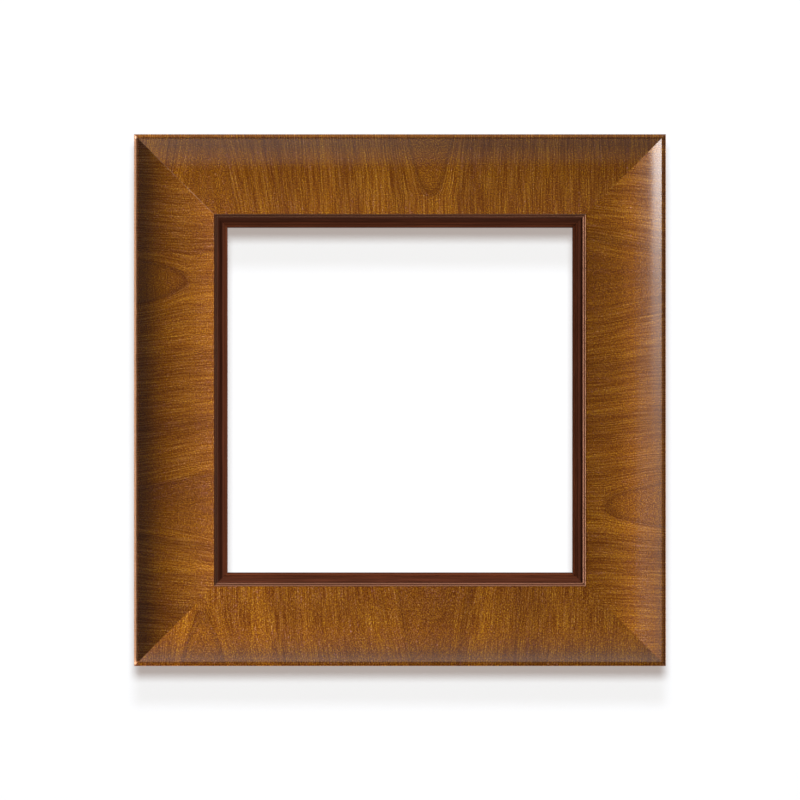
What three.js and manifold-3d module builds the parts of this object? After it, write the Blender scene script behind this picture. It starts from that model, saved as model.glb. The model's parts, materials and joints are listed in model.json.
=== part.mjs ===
// Square wooden picture frame for a 203.2 mm print.
// Four mitred rails make it. Each rail is a softwood core with a cross-banded veneer wrapped
// round its cushion face, and a dark reeded slip glued into its rebate. V-nails pull the mitres
// together from the back. Four turn buttons hold a backing board in, and one ring hanger sits
// behind the top rail.
// Millimetres. +X is right, +Z is up and the front faces -Y. The frame stands on its bottom
// edge, and the origin is the bottom centre of its bounding box.

import * as THREE from 'three';
import { mergeVertices } from 'three/addons/utils/BufferGeometryUtils.js';
import Module from 'manifold-3d';

const wasm = await Module();
wasm.setup();

// Picture and sight opening
const pictureSide = 203.2;
const rebateAllowance = 1.0; // free space beside each edge of the picture
const sightOverlap = 6.1; // how far the slip covers each edge of the picture

// Moulding, seen from the front
const slipFaceWidth = 7.45;
const veneerFaceWidth = 44.4;
const crestToSlip = 17; // from the highest line of the cushion to the slip

// Moulding, seen from its end
const mouldingDepth = 28; // from the back to the crest
const sightSlope = 12; // degrees that the face has fallen by at the slip
const footSlope = 47.5; // degrees that the face has rolled over by at its outer foot
const footStep = 1.15; // riser between the cushion and the cove
const coveWidth = 2.3; // from the outer edge to the foot of the cushion
const rimWidth = 1.2; // chamfered rim outside the cove
const rimRise = 1.2;
const veneerThickness = 0.4;
const coreRebateWidth = 6.4; // rebate in the core that the slip is glued into
const coreLipThickness = 5.2; // front lip of the core over that rebate

// Slip
const slipBackInset = 2; // the slip stops short of the back of the core
const glassSeatHeight = 14; // from the back of the frame to the seat of the glass
const reedCount = 2;
const reedWidth = 1.1;
const reedRise = 0.4;
const reedStep = 0.25; // each reed sits lower than the one before
const hollowWidth = 2.1; // shallow hollow beside the reeds
const hollowDrop = 0.75;
const hollowSag = 0.15;
const innerMemberRise = 0.3; // rounded member that falls to the sight edge
const sightEdgeDrop = 3.4; // from the slip's top to its sight edge
const innerMemberQuirk = 0.3; // fine groove in the middle of that member

// Joints between wooden pieces
const glueLine = 0.1;
const mitreGlueLine = 0.1;

// V-nails, two in each mitre
const vNailInsets = { outer: 10, inner: 27 }; // from the outer edges of the frame
const vNailWing = 6;
const vNailThickness = 0.5;
const vNailLip = 0.8;
const vNailHeight = 8;
const vNailSink = 0.4; // below the back of the core
const vNailClearance = 0.3;

// Screws, a pan head on a plain shank
const screwShankRadius = 1.5;
const screwLength = 13;
const screwTipLength = 3;
const screwHeadRadius = 3.1;
const screwHeadEdge = 0.7;
const screwHeadHeight = 2.0;
const screwRecessSpan = 3.4;
const screwRecessWidth = 0.8;
const screwRecessDepth = 1.1;
const screwClearance = 0.3; // round the shank, under the head and past the tip

// Turn buttons, two on each side rail
const buttonGap = 0.3; // between the button and the back of the core
const buttonThickness = 1;
const buttonPivotInset = 29; // from the outer edge of the frame
const buttonSpacing = 120; // between the two buttons of a rail
const buttonBossRadius = 5.5;
const buttonTipRadius = 3.8;
const buttonReach = 13.2; // from the pivot to the centre of the tip

// Ring hanger on the top rail, a folded strap that holds a D-shaped wire ring
const hangerGap = 0.3; // between the strap and the back of the core
const hangerEyeInset = 21.5; // from the top edge of the frame
const strapSheet = 0.8;
const strapWidth = 9;
const strapLength = 14.5; // from the eye to the tail
const strapScrewDistance = 8.6; // from the eye to the screw
const strapFold = 40; // degrees round the eye at which the upper flap leaves it
const ringWireRadius = 1;
const ringClearance = 0.3; // round the wire in its eye
const ringInnerWidth = 11.4;
const ringInnerLength = 16.6;
const ringBendRadius = 2.2;
const ringEndGap = 0.3; // where the two ends of the wire meet, inside the eye

// Smoothness of the curved outlines
const cushionSteps = 20;
const crestSteps = 7;
const reedSteps = 6;
const screwSides = 16;
const wireSides = 10;
const wireSteps = 44;
const roundSteps = 10;

// Values that follow from the ones above
const sightSide = pictureSide - 2 * sightOverlap;
const frameSide = sightSide + 2 * (slipFaceWidth + veneerFaceWidth);
const halfSide = frameSide / 2;
const strapEyeRadius = ringWireRadius + ringClearance + strapSheet;
const hangerStandOff = hangerGap + 2 * strapEyeRadius;
const overallDepth = mouldingDepth + hangerStandOff;
const backPlane = overallDepth / 2 - hangerStandOff; // y of the back of the core
const sightInset = (frameSide - sightSide) / 2;
const rebateInset = (frameSide - pictureSide) / 2 - rebateAllowance;
const coreRebateInset = veneerFaceWidth - coreRebateWidth;
const crestInset = veneerFaceWidth - crestToSlip;
const slopeOf = (degrees) => THREE.MathUtils.degToRad(degrees);
const innerRadius = crestToSlip / Math.sin(slopeOf(sightSlope));
const outerRadius = (crestInset - coveWidth) / Math.sin(slopeOf(footSlope));
const sightHeight = mouldingDepth - innerRadius * (1 - Math.cos(slopeOf(sightSlope)));
const footHeight = mouldingDepth - outerRadius * (1 - Math.cos(slopeOf(footSlope)));
const coveHeight = footHeight - footStep;
const coreLipHeight = sightHeight - veneerThickness - glueLine - coreLipThickness;

// Materials
const finish = (color, roughness, metalness) => () =>
  new THREE.MeshStandardMaterial({ color, roughness, metalness });
const veneerFinish = finish(0x84511f, 0.38, 0);
const slipFinish = finish(0x4a2317, 0.35, 0);
const coreFinish = finish(0xcba877, 0.8, 0);
const zincFinish = finish(0xb6babd, 0.35, 1);

// A moulding's outline is drawn as points (inset, height): inset is measured inwards from the
// outer edge of the frame, and height forwards from the back of the core.
const at = (inset, height) => new THREE.Vector2(inset, height);

// Points of a circular arc, angles in degrees from the inset axis
function arc(centre, radius, from, to, steps) {
  const points = [];
  for (let i = 0; i <= steps; i += 1) {
    const angle = slopeOf(from + ((to - from) * i) / steps);
    points.push(at(centre.x + radius * Math.cos(angle), centre.y + radius * Math.sin(angle)));
  }
  return points;
}

// Points after "from" of a shallow arc to "to", which stands "rise" proud on its left side
function bow(from, to, rise, steps) {
  const along = to.clone().sub(from);
  const left = at(-along.y, along.x).normalize();
  const points = [];
  for (let i = 1; i <= steps; i += 1) {
    const t = i / steps;
    points.push(from.clone().addScaledVector(along, t).addScaledVector(left, 4 * rise * t * (1 - t)));
  }
  return points;
}

// The outline moved into the wood by a distance. Its first and last points slide along the
// directions of the two end faces.
function inset(outline, distance, firstFace, lastFace) {
  const normals = outline.slice(1).map((point, i) => {
    const along = point.clone().sub(outline[i]).normalize();
    return at(along.y, -along.x);
  });
  return outline.map((point, i) => {
    const before = normals[i - 1];
    const after = normals[i];
    if (!before) return point.clone().addScaledVector(firstFace, distance / after.dot(firstFace));
    if (!after) return point.clone().addScaledVector(lastFace, distance / before.dot(lastFace));
    const middle = before.clone().add(after);
    return point.clone().addScaledVector(middle, distance / (1 + before.dot(after)));
  });
}

// Face of the moulding: outer wall, chamfered rim, cove, riser, then the cushion's two arcs
function faceOutline() {
  const outer = arc(
    at(crestInset, mouldingDepth - outerRadius), outerRadius, 90 + footSlope, 90, cushionSteps);
  const inner = arc(
    at(crestInset, mouldingDepth - innerRadius), innerRadius, 90, 90 - sightSlope, crestSteps);
  return [
    at(0, 0), at(0, coveHeight + rimRise), at(rimWidth, coveHeight), at(coveWidth, coveHeight),
    ...outer, ...inner.slice(1),
  ];
}

const intoWall = at(1, 0);
const downLip = at(0, -1);

function veneerOutline() {
  const face = faceOutline();
  return [...face, ...inset(face, veneerThickness, intoWall, downLip).reverse()];
}

function coreOutline() {
  const face = inset(faceOutline(), veneerThickness + glueLine, intoWall, downLip);
  return [
    ...face, at(veneerFaceWidth, coreLipHeight), at(coreRebateInset, coreLipHeight),
    at(coreRebateInset, 0),
  ];
}

// The slip is L-shaped: a thick leg behind the core's lip, and a reeded arm in front that ends
// at the sight edge. The glass rests on the back of the arm.
function slipOutline() {
  const legOuter = coreRebateInset + glueLine;
  const legTop = coreLipHeight - glueLine;
  const armOuter = veneerFaceWidth + glueLine;
  const points = [at(legOuter, slipBackInset), at(legOuter, legTop), at(armOuter, legTop)];
  let valley = at(armOuter, sightHeight - reedRise);
  points.push(valley);
  for (let i = 0; i < reedCount; i += 1) {
    const next = at(valley.x + reedWidth, valley.y - reedStep);
    points.push(...bow(valley, next, reedRise, reedSteps));
    valley = next;
  }
  const hollowStart = at(valley.x, valley.y - hollowDrop / 2);
  const hollowEnd = at(valley.x + hollowWidth, valley.y - hollowDrop);
  points.push(hollowStart, ...bow(hollowStart, hollowEnd, -hollowSag, reedSteps));
  const sightEdge = at(sightInset, sightHeight - sightEdgeDrop);
  const middle = hollowEnd.clone().add(sightEdge).multiplyScalar(1 / 2);
  const quirk = at(middle.x, middle.y - innerMemberQuirk);
  points.push(...bow(hollowEnd, quirk, innerMemberRise, reedSteps));
  points.push(...bow(quirk, sightEdge, innerMemberRise, reedSteps));
  points.push(
    at(sightInset, glassSeatHeight), at(rebateInset, glassSeatHeight),
    at(rebateInset, slipBackInset));
  return points;
}

// A rail lies along X below the frame's centre. Its outline is run along it, and each point of
// the two ends is drawn in by its own inset, which cuts the mitres at 45 degrees.
function mitredRail(outline) {
  const geometry = new THREE.ExtrudeGeometry(
    new THREE.Shape(outline), { depth: 1, steps: 1, bevelEnabled: false });
  const position = geometry.getAttribute('position');
  for (let i = 0; i < position.count; i += 1) {
    const pointInset = position.getX(i);
    const height = position.getY(i);
    const end = position.getZ(i) > 1 / 2 ? 1 : -1;
    const reach = halfSide - pointInset - mitreGlueLine * Math.SQRT1_2;
    position.setXYZ(i, end * reach, backPlane - height, pointInset - halfSide);
  }
  geometry.computeVertexNormals();
  return geometry;
}

// Joining and cutting of closed bodies
function solid(geometry) {
  const bare = geometry.clone();
  bare.deleteAttribute('normal');
  bare.deleteAttribute('uv');
  const merged = mergeVertices(bare);
  return new wasm.Manifold(new wasm.Mesh({
    numProp: 3,
    vertProperties: new Float32Array(merged.getAttribute('position').array),
    triVerts: new Uint32Array(merged.index.array),
  }));
}

function geometryOf(body) {
  const mesh = body.getMesh();
  const indexed = new THREE.BufferGeometry();
  indexed.setAttribute('position', new THREE.BufferAttribute(mesh.vertProperties, 3));
  indexed.setIndex(new THREE.BufferAttribute(mesh.triVerts, 1));
  const geometry = indexed.toNonIndexed();
  geometry.computeVertexNormals();
  return geometry;
}

function cut(geometry, cutters) {
  let body = solid(geometry);
  for (const cutter of cutters) body = body.subtract(solid(cutter));
  return geometryOf(body);
}

// A flat outline in X and Z, run along Y between two depths
function prism(shape, fromY, toY) {
  const geometry = new THREE.ExtrudeGeometry(
    shape, { depth: toY - fromY, steps: 1, bevelEnabled: false, curveSegments: roundSteps });
  geometry.rotateX(Math.PI / 2);
  geometry.translate(0, toY, 0);
  return geometry;
}

// A V-nail straddles the mitre at the right-hand end of a rail. One wing runs into this rail and
// one into the next, and each wing ends in a lip that grips the wood. "grow" widens it all round
// for the slot that it is driven into.
function vNail(insetOfNail, grow) {
  const half = vNailThickness / 2 + grow;
  const wing = vNailWing + grow;
  const lip = vNailLip + grow;
  const lipFoot = vNailWing - vNailThickness - grow;
  const wings = [
    [half, -half], [half, lipFoot], [lip, lipFoot], [lip, wing], [-half, wing],
    [-half, half], [-wing, half], [-wing, -lip], [-lipFoot, -lip], [-lipFoot, -half],
  ];
  const corner = at(halfSide - insetOfNail, insetOfNail - halfSide);
  const shape = new THREE.Shape(wings.map(([x, z]) => at(corner.x + x, corner.y + z)));
  const head = backPlane - vNailSink;
  const tip = head - vNailHeight;
  return prism(shape, tip - grow, grow > 0 ? backPlane + 1 : head);
}

// Screw along Y with its head at the back. Its place is the underside of the head.
function screw() {
  const dome = bow(
    at(screwHeadRadius, screwHeadEdge), at(0, screwHeadHeight), -screwHeadEdge / 2, reedSteps);
  const profile = [
    at(0, -screwLength), at(screwShankRadius, screwTipLength - screwLength),
    at(screwShankRadius, 0), at(screwHeadRadius, 0), at(screwHeadRadius, screwHeadEdge), ...dome,
  ];
  profile[profile.length - 1].x = 0;
  const blank = new THREE.LatheGeometry(profile, screwSides);
  const floor = screwHeadHeight - screwRecessDepth;
  const slots = [[screwRecessSpan, screwRecessWidth], [screwRecessWidth, screwRecessSpan]];
  return cut(blank, slots.map(([x, z]) => {
    const slot = new THREE.BoxGeometry(x, 2 * screwRecessDepth, z);
    return slot.translate(0, floor + screwRecessDepth, 0);
  }));
}

// Hole for a screw whose head bears on something that stands "lift" off the back of the core
function pilotHole(x, z, lift) {
  const depth = screwLength - lift + screwClearance;
  const hole = new THREE.CylinderGeometry(
    screwShankRadius + screwClearance, screwShankRadius + screwClearance, depth + 1, screwSides);
  return hole.translate(x, backPlane + 1 / 2 - depth / 2, z);
}

// Turn button: a flat tongue that tapers from its boss, round the screw, to a smaller tip.
// It is drawn at its pivot and points inwards, towards the picture.
function turnButton() {
  const lean = Math.asin((buttonBossRadius - buttonTipRadius) / buttonReach);
  const shape = new THREE.Shape();
  shape.absarc(0, 0, buttonBossRadius, Math.PI - lean, 2 * Math.PI + lean, false);
  shape.absarc(0, buttonReach, buttonTipRadius, lean, Math.PI - lean, false);
  const hole = new THREE.Path();
  hole.absarc(0, 0, screwShankRadius + screwClearance, 0, 2 * Math.PI, false);
  shape.holes.push(hole);
  return prism(shape, 0, buttonThickness);
}

// Hanger strap: sheet folded double round the wire, its lower flap flat on the wood. The side
// view is run across the width, and the tail is rounded in plan. The eye is at the origin.
function hangerStrap() {
  const eye = strapEyeRadius;
  const bore = ringWireRadius + ringClearance;
  const top = 2 * strapSheet - eye; // upper face of the two flaps, from the eye's centre
  const fold = slopeOf(strapFold);
  const side = new THREE.Shape();
  side.moveTo(strapLength, -eye);
  side.lineTo(strapLength, top);
  side.lineTo((eye - top * Math.sin(fold)) / Math.cos(fold), top);
  side.absarc(0, 0, eye, fold, (3 * Math.PI) / 2, false);
  side.closePath();
  const inside = new THREE.Path();
  inside.absarc(0, 0, bore, fold, (3 * Math.PI) / 2, false);
  inside.lineTo((bore + bore * Math.sin(fold)) / Math.cos(fold), -bore);
  inside.closePath();
  side.holes.push(inside);
  const folded = new THREE.ExtrudeGeometry(
    side, { depth: strapWidth, steps: 1, bevelEnabled: false, curveSegments: roundSteps });
  // side view (down, out) to (-Z, +Y)
  folded.translate(0, 0, -strapWidth / 2);
  folded.applyMatrix4(new THREE.Matrix4().makeBasis(
    new THREE.Vector3(0, 0, -1), new THREE.Vector3(0, 1, 0), new THREE.Vector3(1, 0, 0)));

  const half = strapWidth / 2;
  const plan = new THREE.Shape();
  plan.moveTo(half, 2 * eye);
  plan.lineTo(-half, 2 * eye);
  plan.absarc(0, half - strapLength, half, Math.PI, 2 * Math.PI, false);
  plan.closePath();
  const hole = new THREE.Path();
  hole.absarc(0, -strapScrewDistance, screwShankRadius + screwClearance, 0, 2 * Math.PI, false);
  plan.holes.push(hole);
  return geometryOf(solid(folded).intersect(solid(prism(plan, -2 * eye, 2 * eye))));
}

// Hanger ring: round wire bent to a D, hanging down from the eye at the origin. Its two ends
// meet in the middle of the straight bar.
function hangerRing() {
  const side = ringInnerWidth / 2 + ringWireRadius;
  const bottom = ringInnerLength + 2 * ringWireRadius;
  const bowCentre = side - bottom;
  const bend = ringBendRadius;
  const path = new THREE.CurvePath();
  const line = (x0, z0, x1, z1) =>
    path.add(new THREE.LineCurve3(new THREE.Vector3(x0, 0, z0), new THREE.Vector3(x1, 0, z1)));
  const turn = (x, z, radius, from, to) => {
    const flat = new THREE.ArcCurve(x, z, radius, from, to, from > to);
    const lifted = new THREE.Curve();
    lifted.getPoint = (t) => {
      const point = flat.getPoint(t);
      return new THREE.Vector3(point.x, 0, point.y);
    };
    path.add(lifted);
  };
  line(ringEndGap / 2, 0, side - bend, 0);
  turn(side - bend, -bend, bend, Math.PI / 2, 0);
  line(side, -bend, side, bowCentre);
  turn(0, bowCentre, side, 0, -Math.PI);
  line(-side, bowCentre, -side, -bend);
  turn(bend - side, -bend, bend, Math.PI, Math.PI / 2);
  line(bend - side, 0, -ringEndGap / 2, 0);
  const section = new THREE.Shape();
  section.absarc(0, 0, ringWireRadius, 0, 2 * Math.PI, false);
  return new THREE.ExtrudeGeometry(
    new THREE.Shape(section.getSpacedPoints(wireSides).slice(0, wireSides)),
    { extrudePath: path, steps: wireSteps, bevelEnabled: false });
}

// Assembly. The four rail groups are quarter turns of the bottom rail round the frame's centre.
const frame = new THREE.Group();
frame.position.z = halfSide;

function add(group, name, geometry, makeMaterial, place) {
  const mesh = new THREE.Mesh(geometry, makeMaterial());
  mesh.name = name;
  if (place) mesh.position.copy(place);
  group.add(mesh);
}

const hingeLine = buttonPivotInset - halfSide;
const buttonPlaces = { lower: -buttonSpacing / 2, upper: buttonSpacing / 2 };
const strapScrewLine = hangerEyeInset + strapScrewDistance - halfSide;
const buttonLift = buttonGap + buttonThickness + screwClearance;
const strapLift = hangerGap + 2 * strapSheet + screwClearance;

const rails = [
  { side: 'bottom', corner: 'bottom_right', holes: [] },
  {
    side: 'left', corner: 'bottom_left', up: -1,
    holes: Object.values(buttonPlaces).map((x) => pilotHole(x, hingeLine, buttonLift)),
  },
  { side: 'top', corner: 'top_left', holes: [pilotHole(0, strapScrewLine, strapLift)] },
  {
    side: 'right', corner: 'top_right', up: 1,
    holes: Object.values(buttonPlaces).map((x) => pilotHole(x, hingeLine, buttonLift)),
  },
];

const nailSlots = Object.values(vNailInsets).flatMap((nailInset) => [
  vNail(nailInset, vNailClearance),
  vNail(nailInset, vNailClearance).rotateY(Math.PI / 2),
]);

rails.forEach(({ side, corner, up, holes }, quarter) => {
  const rail = new THREE.Group();
  rail.rotation.y = (quarter * Math.PI) / 2;
  frame.add(rail);
  add(rail, `core_${side}`, cut(mitredRail(coreOutline()), [...nailSlots, ...holes]), coreFinish);
  add(rail, `veneer_${side}`, mitredRail(veneerOutline()), veneerFinish);
  add(rail, `slip_${side}`, mitredRail(slipOutline()), slipFinish);
  for (const [place, nailInset] of Object.entries(vNailInsets)) {
    add(rail, `v_nail_${corner}_${place}`, vNail(nailInset, 0), zincFinish);
  }
  if (!up) return;
  for (const [level, x] of Object.entries(buttonPlaces)) {
    const pivot = new THREE.Vector3(up * x, backPlane + buttonGap, hingeLine);
    add(rail, `turn_button_${side}_${level}`, turnButton(), zincFinish, pivot);
    const head = pivot.clone().setY(backPlane + buttonLift);
    add(rail, `button_screw_${side}_${level}`, screw(), zincFinish, head);
  }
});

const eyePlace = new THREE.Vector3(
  0, backPlane + hangerGap + strapEyeRadius, halfSide - hangerEyeInset);
add(frame, 'hanger_strap', hangerStrap(), zincFinish, eyePlace);
add(frame, 'hanger_ring', hangerRing(), zincFinish, eyePlace);
add(frame, 'hanger_screw', screw(), zincFinish,
  new THREE.Vector3(0, backPlane + strapLift, -strapScrewLine));

const pictureFrame = new THREE.Group();
pictureFrame.add(frame);

export default pictureFrame;
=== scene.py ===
import json
import math

import bmesh
import bpy
from mathutils import Matrix, Vector


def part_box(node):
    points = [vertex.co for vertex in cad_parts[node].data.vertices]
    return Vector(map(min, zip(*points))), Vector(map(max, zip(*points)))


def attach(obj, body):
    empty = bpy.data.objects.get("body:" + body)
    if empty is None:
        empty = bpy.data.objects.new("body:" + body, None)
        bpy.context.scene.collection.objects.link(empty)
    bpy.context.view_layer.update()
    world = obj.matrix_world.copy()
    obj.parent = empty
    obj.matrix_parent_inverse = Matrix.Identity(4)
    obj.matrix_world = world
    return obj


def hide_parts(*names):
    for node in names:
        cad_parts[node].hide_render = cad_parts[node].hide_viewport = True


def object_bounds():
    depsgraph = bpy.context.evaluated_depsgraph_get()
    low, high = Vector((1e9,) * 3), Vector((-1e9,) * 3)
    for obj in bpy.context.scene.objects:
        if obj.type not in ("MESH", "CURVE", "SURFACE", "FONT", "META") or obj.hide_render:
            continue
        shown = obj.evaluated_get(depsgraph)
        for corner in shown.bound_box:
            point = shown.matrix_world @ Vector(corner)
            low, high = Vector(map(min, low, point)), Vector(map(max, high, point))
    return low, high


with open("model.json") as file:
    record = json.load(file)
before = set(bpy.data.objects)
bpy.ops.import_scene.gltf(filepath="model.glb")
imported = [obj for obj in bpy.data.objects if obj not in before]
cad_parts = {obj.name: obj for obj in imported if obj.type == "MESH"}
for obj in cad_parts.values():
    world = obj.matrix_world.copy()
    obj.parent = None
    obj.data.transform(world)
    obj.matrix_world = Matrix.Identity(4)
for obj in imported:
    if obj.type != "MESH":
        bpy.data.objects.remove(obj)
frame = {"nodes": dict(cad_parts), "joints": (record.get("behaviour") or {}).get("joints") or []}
cad_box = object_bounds()
scene = bpy.context.scene
scene.view_settings.view_transform = "Standard"

# Camera: straight in front of the frame and level with its middle, so far off that the walls of
# the opening hardly show. The photograph gives the framing, in pixels of its 800 pixel side.
MM = 0.001
PHOTO_SIDE = 800
PIXELS_PER_MM = 1.805
FRAME_MIDDLE_IN_PHOTO = (399.95, 400.15)
CAMERA_DISTANCE = 5.0
SENSOR_WIDTH = 36
RIM_PLANE = -5.3 * MM

half_side = cad_box[1].x
pixel = MM / PIXELS_PER_MM
camera_data = bpy.data.cameras.new("camera")
camera_data.sensor_width = SENSOR_WIDTH
camera_data.lens = SENSOR_WIDTH * CAMERA_DISTANCE / (PHOTO_SIDE * pixel)
camera = bpy.data.objects.new("camera", camera_data)
camera.location = (
    (PHOTO_SIDE / 2 - FRAME_MIDDLE_IN_PHOTO[0]) * pixel,
    RIM_PLANE - CAMERA_DISTANCE,
    half_side + (FRAME_MIDDLE_IN_PHOTO[1] - PHOTO_SIDE / 2) * pixel,
)
camera.rotation_euler = (math.pi / 2, 0, 0)
scene.collection.objects.link(camera)
scene.camera = camera


# Cores: four planed softwood rails, mitred and left bare at the back. Their long growth lines
# run along each rail, so the upright rails take the same finish turned a quarter.
def paint(red, green, blue):
    """A colour given as it looks, 0 to 255, in the linear values that a shader takes."""
    shares = [c / 255 for c in (red, green, blue)]
    return (*[s / 12.92 if s <= 0.04045 else ((s + 0.055) / 1.055) ** 2.4 for s in shares], 1)


def plug(tree, socket, value):
    if isinstance(value, bpy.types.NodeSocket):
        tree.links.new(value, socket)
    else:
        socket.default_value = value


def add(tree, kind, inputs=(), **settings):
    """Adds a node with its settings, and plugs or sets its inputs by name or number."""
    made = tree.nodes.new(kind)
    for name, value in settings.items():
        setattr(made, name, value)
    for name, value in dict(inputs).items():
        plug(tree, made.inputs[name], value)
    return made


def calc(tree, operation, *values):
    return add(tree, "ShaderNodeMath", enumerate(values), operation=operation).outputs[0]


def minus(tree, value, taken):
    return calc(tree, "SUBTRACT", value, taken)


def total(tree, start, *parts):
    """The start plus each part times its weight."""
    for value, weight in parts:
        start = calc(tree, "MULTIPLY_ADD", value, weight, start)
    return start


def split(tree, vector):
    return add(tree, "ShaderNodeSeparateXYZ", {0: vector}).outputs


def noise(tree, place, scale=1.0, detail=2.0, roughness=0.5):
    """Soft noise round 0, about one unit from peak to peak."""
    made = add(tree, "ShaderNodeTexNoise",
               {"Vector": place, "Scale": scale, "Detail": detail, "Roughness": roughness})
    return minus(tree, made.outputs["Fac"], 0.5)


def ramp(tree, factor, stops, ease="LINEAR"):
    """Colours along a factor: stops are pairs of a position and a colour or a grey value."""
    made = add(tree, "ShaderNodeValToRGB", {"Fac": factor})
    made.color_ramp.interpolation = ease
    while len(made.color_ramp.elements) < len(stops):
        made.color_ramp.elements.new(0.5)
    for element, (position, colour) in zip(made.color_ramp.elements, stops):
        element.position = position
        element.color = colour if isinstance(colour, tuple) else (colour, colour, colour, 1)
    return made.outputs["Color"]


def mix(tree, factor, first, second, blend="MIX"):
    made = add(tree, "ShaderNodeMix", {0: factor, 6: first, 7: second},
               data_type="RGBA", blend_type=blend)
    return made.outputs[2]


def tinted(tree, colour, tint):
    """The colour times a tint, which is another colour or one value."""
    tint = (tint, tint, tint, 1) if isinstance(tint, float) else tint
    return mix(tree, 1.0, colour, tint, "MULTIPLY")


def new_material(name):
    material = bpy.data.materials.new(name)
    material.use_nodes = True
    material.node_tree.nodes.clear()
    return material, material.node_tree


def finish_material(name, base, bump_depth, metallic=0.0, specular=0.5):
    """Ends a material's tree in its surface shader. base is a function of the tree that gives the
    colour, the relief and the roughness."""
    material, tree = new_material(name)
    colour, height, roughness = base(tree)
    relief = add(tree, "ShaderNodeBump", {"Height": height, "Distance": bump_depth, "Strength": 1.0})
    shader = add(tree, "ShaderNodeBsdfPrincipled", {
        "Base Color": colour, "Roughness": roughness, "Metallic": metallic,
        "Specular IOR Level": specular, "Normal": relief.outputs["Normal"]})
    plug(tree, add(tree, "ShaderNodeOutputMaterial").inputs["Surface"], shader.outputs["BSDF"])
    return material


QUARTERS = {"bottom": 0, "left": 1, "top": 2, "right": 3}
RING_SPACING = 3.1 * MM
RING_TILT = 0.7
RING_WANDER = 3.4
EARLY_WOOD = paint(219, 186, 138)
LATE_WOOD = paint(186, 136, 82)
BARE_WOOD_ROUGHNESS = 0.62


def softwood(along, across):
    """Planed pine: pale early wood between thin darker late-wood lines, with fine fibres."""

    def base(tree):
        place = add(tree, "ShaderNodeTexCoord").outputs["Object"]
        parts = split(tree, place)

        def stretched(lengthwise, sideways):
            scale = [lengthwise if axis == along else sideways for axis in "XYZ"]
            return add(tree, "ShaderNodeMapping", {"Vector": place, "Scale": scale}).outputs[0]

        broad = stretched(9, 60)
        fibre = noise(tree, stretched(70, 1600), 1.0, 3.0, 0.6)
        ring = total(tree, parts[across], (parts["Y"], RING_TILT))
        ring = calc(tree, "DIVIDE", ring, RING_SPACING)
        ring = total(tree, ring, (noise(tree, broad), RING_WANDER))
        rings = ramp(tree, calc(tree, "FRACT", ring),
                     ((0.0, 0.0), (0.55, 0.25), (0.88, 1.0), (0.97, 0.9), (1.0, 0.0)))
        colour = mix(tree, rings, EARLY_WOOD, LATE_WOOD)
        shade = total(tree, 1.0, (fibre, 0.5), (noise(tree, broad, 0.6), 0.25))
        return tinted(tree, colour, shade), fibre, BARE_WOOD_ROUGHNESS

    return finish_material(f"softwood_{along.lower()}", base, 0.05 * MM)


def refinish(node, material):
    """Gives a CAD node its finish. Its mesh and its place stay as they are."""
    node.data.materials.clear()
    node.data.materials.append(material)


softwood_finishes = (softwood("X", "Z"), softwood("Z", "X"))
for side, quarter in QUARTERS.items():
    refinish(frame["nodes"][f"core_{side}"], softwood_finishes[quarter % 2])


# Veneer rails: a 0.4 mm cross-banded veneer, golden brown, wrapped round the cushion, the cove
# and the outer rim, and mitred with the core. Its grain runs across the rail, and its figure
# alternates: arches that close towards the picture, then funnels that open towards it.
SLIP_FACE_WIDTH = 7.45 * MM
VENEER_FACE_WIDTH = 44.4 * MM
CREST_TO_SLIP = 17 * MM
MOULDING_DEPTH = 28 * MM
SIGHT_SLOPE = math.radians(12)
FOOT_SLOPE = math.radians(47.5)
FOOT_STEP = 1.15 * MM
COVE_WIDTH = 2.3 * MM
RIM_WIDTH = 1.2 * MM
RIM_RISE = 1.2 * MM
VENEER_THICKNESS = 0.4 * MM
RIM_ROUNDING = 0.4 * MM
COVE_ROUNDING = 0.3 * MM
FOOT_ROUNDING = 0.25 * MM
EDGE_ROUNDING = 0.15 * MM
RAIL_STEPS = 25

back_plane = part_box("core_bottom")[1].y
crest_inset = VENEER_FACE_WIDTH - CREST_TO_SLIP
inner_radius = CREST_TO_SLIP / math.sin(SIGHT_SLOPE)
outer_radius = (crest_inset - COVE_WIDTH) / math.sin(FOOT_SLOPE)
sight_height = MOULDING_DEPTH - inner_radius * (1 - math.cos(SIGHT_SLOPE))
foot_height = MOULDING_DEPTH - outer_radius * (1 - math.cos(FOOT_SLOPE))
cove_height = foot_height - FOOT_STEP


def arc(centre, radius, start, end, steps):
    """Points of a circle round a centre. Angles are measured from the inset axis."""
    angles = [start + (end - start) * i / steps for i in range(steps + 1)]
    return [Vector((centre[0] + radius * math.cos(a), centre[1] + radius * math.sin(a)))
            for a in angles]


def rounded(outline, radii, steps=5):
    """The outline with an arc in place of each corner that radii gives by its number."""
    points = []
    for i, corner in enumerate(outline):
        if i not in radii:
            points.append(corner)
            continue
        before = (outline[i - 1] - corner).normalized()
        after = (outline[(i + 1) % len(outline)] - corner).normalized()
        turn = math.pi - before.angle(after)
        reach = radii[i] * math.tan(turn / 2)
        start = corner + before * reach
        end = corner + after * reach
        for k in range(steps + 1):
            t = k / steps
            points.append(start * (1 - t) ** 2 + corner * 2 * t * (1 - t) + end * t ** 2)
    return points


def moved_inwards(outline, distance):
    """The outline moved into the wood. Its ends slide along the back and along the slip."""
    directions = [(b - a).normalized() for a, b in zip(outline, outline[1:])]
    normals = [Vector((d.y, -d.x)) for d in directions]
    points = [outline[0] + Vector((distance, 0))]
    for i in range(1, len(outline) - 1):
        middle = normals[i - 1] + normals[i]
        points.append(outline[i] + middle * (distance / (1 + normals[i - 1].dot(normals[i]))))
    return points + [outline[-1] + Vector((0, -distance / normals[-1].dot(Vector((0, -1)))))]


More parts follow.
